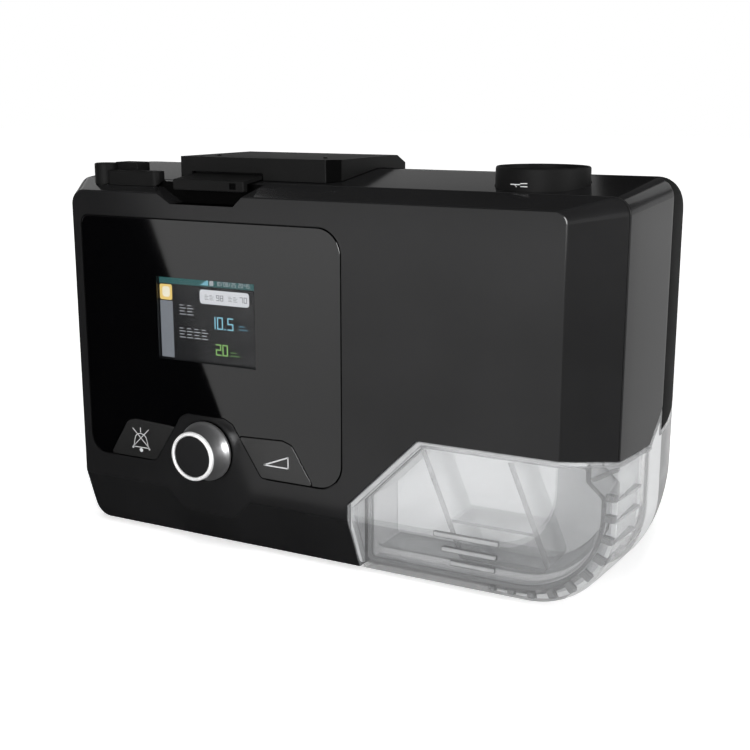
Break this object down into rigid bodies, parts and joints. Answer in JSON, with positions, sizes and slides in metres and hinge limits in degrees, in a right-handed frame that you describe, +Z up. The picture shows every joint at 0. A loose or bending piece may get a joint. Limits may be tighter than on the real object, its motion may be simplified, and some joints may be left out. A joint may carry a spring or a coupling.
{
  "type": "bedside breathing machine",
  "caption": "Bedside airway pressure machine: black casing with a glossy display panel, metal knob and buttons, clear side-loading water tank and a round hose outlet on top",
  "frame": {"origin": "under the middle of the machine, on the surface its feet stand on", "axes": "+X to the machine's right seen from the front, the long way; +Y from the front to the rear, the short way; +Z up"},
  "size_m": [0.2644, 0.1266, 0.1761],
  "materials": {
    "satin_black": "satin black moulded plastic with a fine spark texture",
    "casing_black": "fine matt black moulded plastic",
    "panel_gloss": "polished black",
    "display_glass": "clear polished",
    "display_black": "lit colour display, black at rest",
    "knob_metal": "turned satin metal with a polished front ring",
    "knob_cap": "dark satin",
    "clear_plastic": "clear moulded polycarbonate, lightly frosted",
    "silicone": "translucent silicone rubber",
    "aluminium": "brushed",
    "grey_plastic": "plain moulded",
    "rubber": "soft matt",
    "steel": "plated",
    "dark_metal": "black coated",
    "board_green": "glass fibre circuit board",
    "filter_foam": "open foam"
  },
  "bodies": {
    "casing": {"front_cover": "satin_black", "main_housing": "casing_black", "base_plate": "casing_black", "foot_front_left": "rubber", "foot_rear_left": "rubber", "foot_front_right": "rubber", "foot_rear_right": "rubber", "base_screw_1": "steel", "base_screw_2": "steel", "base_screw_3": "steel", "base_screw_4": "steel", "heater_tray": "grey_plastic", "heater_plate": "aluminium", "front_panel": "panel_gloss", "display_lens": "display_glass", "lcd_module": "display_black", "main_board": "board_green", "mute_switch": "steel", "ramp_switch": "steel", "alarm_buzzer": "rubber", "encoder_body": "steel", "outlet_duct": "grey_plastic", "outlet_gasket": "silicone", "inlet_gasket": "silicone", "blower_volute": "grey_plastic", "blower_cover": "grey_plastic", "motor_bearing": "steel", "motor_stator": "dark_metal", "blower_mount_1": "rubber", "blower_mount_2": "rubber", "blower_mount_3": "rubber", "blower_duct": "grey_plastic", "air_filter": "filter_foam", "inlet_muffler": "grey_plastic", "io_board": "board_green", "dc_jack": "rubber", "comm_port": "steel", "card_socket": "steel"},
    "encoder_shaft": {"knob_plunger": "steel"},
    "knob": {"knob_shell": "knob_metal", "knob_cap": "knob_cap"},
    "mute_key": {"mute_button": "panel_gloss"},
    "ramp_key": {"ramp_button": "panel_gloss"},
    "water_tank": {"tank_shell": "clear_plastic", "tank_tub": "clear_plastic", "tank_lid": "clear_plastic", "tank_seal": "silicone", "tank_baffle": "clear_plastic", "tank_hot_plate": "aluminium"},
    "collar": {"outlet_collar": "satin_black"},
    "accessory_module": {"module_cover": "satin_black", "module_base": "satin_black"},
    "latch": {"module_latch": "satin_black"},
    "plug": {"sensor_plug": "satin_black"},
    "fan": {"impeller": "grey_plastic", "motor_shaft": "steel"},
    "filter_door": {"filter_cover": "casing_black"},
    "port_flap": {"comm_flap": "rubber"},
    "card": {"memory_card": "satin_black"}
  },
  "joints": [
    {"name": "knob_press", "type": "slide", "parent": "casing", "child": "encoder_shaft", "axis": [0, 1, 0], "range_m": [0, 0.0005], "stiffness_N_per_m": 1500},
    {"name": "knob_turn", "type": "hinge", "parent": "encoder_shaft", "child": "knob", "pos_m": [-0.0568, -0.0517, 0.0476], "axis": [0, 1, 0], "continuous": true},
    {"name": "mute_press", "type": "slide", "parent": "casing", "child": "mute_key", "axis": [0, 1, 0], "range_m": [0, 0.0006], "stiffness_N_per_m": 1200},
    {"name": "ramp_press", "type": "slide", "parent": "casing", "child": "ramp_key", "axis": [0, 1, 0], "range_m": [0, 0.0006], "stiffness_N_per_m": 1200},
    {"name": "tank_slide", "type": "slide", "parent": "casing", "child": "water_tank", "axis": [1, 0, 0], "range_m": [0, 0.13]},
    {"name": "collar_turn", "type": "hinge", "parent": "casing", "child": "collar", "pos_m": [0.086, -0.0213, 0.1744], "axis": [0, 0, 1], "range_deg": [0, 30]},
    {"name": "module_lift", "type": "slide", "parent": "casing", "child": "accessory_module", "axis": [0, 0, 1], "range_m": [0, 0.03]},
    {"name": "latch_lift", "type": "hinge", "parent": "accessory_module", "child": "latch", "pos_m": [-0.0568, -0.0331, 0.1697], "axis": [-1, 0, 0], "range_deg": [0, 6], "stiffness_Nm_per_rad": 0.2},
    {"name": "plug_lift", "type": "slide", "parent": "casing", "child": "plug", "axis": [0, 0, 1], "range_m": [0, 0.02]},
    {"name": "fan_spin", "type": "hinge", "parent": "casing", "child": "fan", "pos_m": [-0.062, 0.0143, 0.035], "axis": [0, 0, 1], "continuous": true},
    {"name": "filter_door_swing", "type": "hinge", "parent": "casing", "child": "filter_door", "pos_m": [-0.0828, 0.062, 0.1351], "axis": [1, 0, 0], "range_deg": [0, 95]},
    {"name": "port_flap_swing", "type": "hinge", "parent": "casing", "child": "port_flap", "pos_m": [-0.0707, 0.0633, 0.0145], "axis": [0, 0, 1], "range_deg": [0, 100]},
    {"name": "card_slide", "type": "slide", "parent": "casing", "child": "card", "axis": [0, 1, 0], "range_m": [0, 0.034]}
  ]
}
